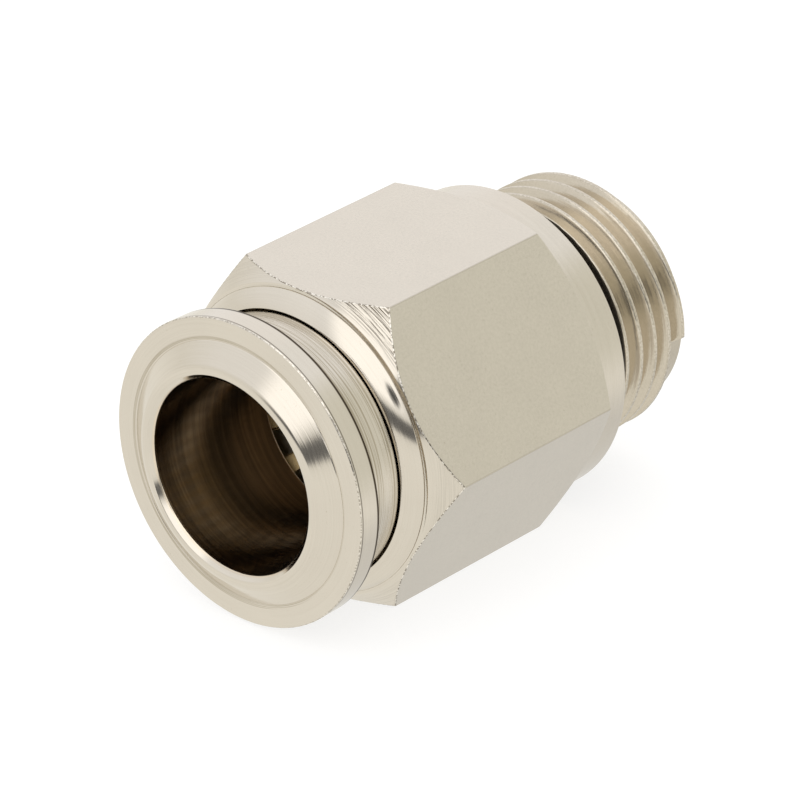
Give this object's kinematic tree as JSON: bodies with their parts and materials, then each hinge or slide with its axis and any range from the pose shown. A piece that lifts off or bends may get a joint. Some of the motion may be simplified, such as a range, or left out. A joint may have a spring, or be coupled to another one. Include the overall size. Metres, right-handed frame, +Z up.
{
  "type": "push to connect fitting",
  "caption": "Straight metal push to connect fitting with a flanged release collar, a hexagonal body and a male parallel thread with an O-ring behind it.",
  "frame": {"origin": "on the fitting's axis, at the plane inside the body where the tube stops", "axes": "+Y along the axis towards the threaded end, -Y out of the release collar's mouth, +Z up with the fitting lying on one flat of its hexagon, +X towards a corner of the hexagon"},
  "size_m": [0.023, 0.0332, 0.02],
  "materials": {
    "nickel_plate": "satin nickel plate over brass",
    "brass": "turned, bare",
    "spring_steel": "stamped stainless",
    "seal_rubber": "moulded nitrile"
  },
  "bodies": {
    "body": {"body": "nickel_plate", "retaining_ring": "brass", "support_ring": "brass", "tube_seal": "seal_rubber", "port_seal": "seal_rubber"},
    "grip": {"grip_ring": "spring_steel"},
    "collar": {"release_collar": "nickel_plate"}
  },
  "joints": [
    {"name": "grip_spin", "type": "hinge", "parent": "body", "child": "grip", "pos_m": [0, -0.011, 0], "axis": [0, 1, 0], "continuous": true},
    {"name": "collar_press", "type": "slide", "parent": "grip", "child": "collar", "axis": [0, 1, 0], "range_m": [0, 0.0022], "stiffness_N_per_m": 400, "deforming": ["grip_ring"]}
  ]
}
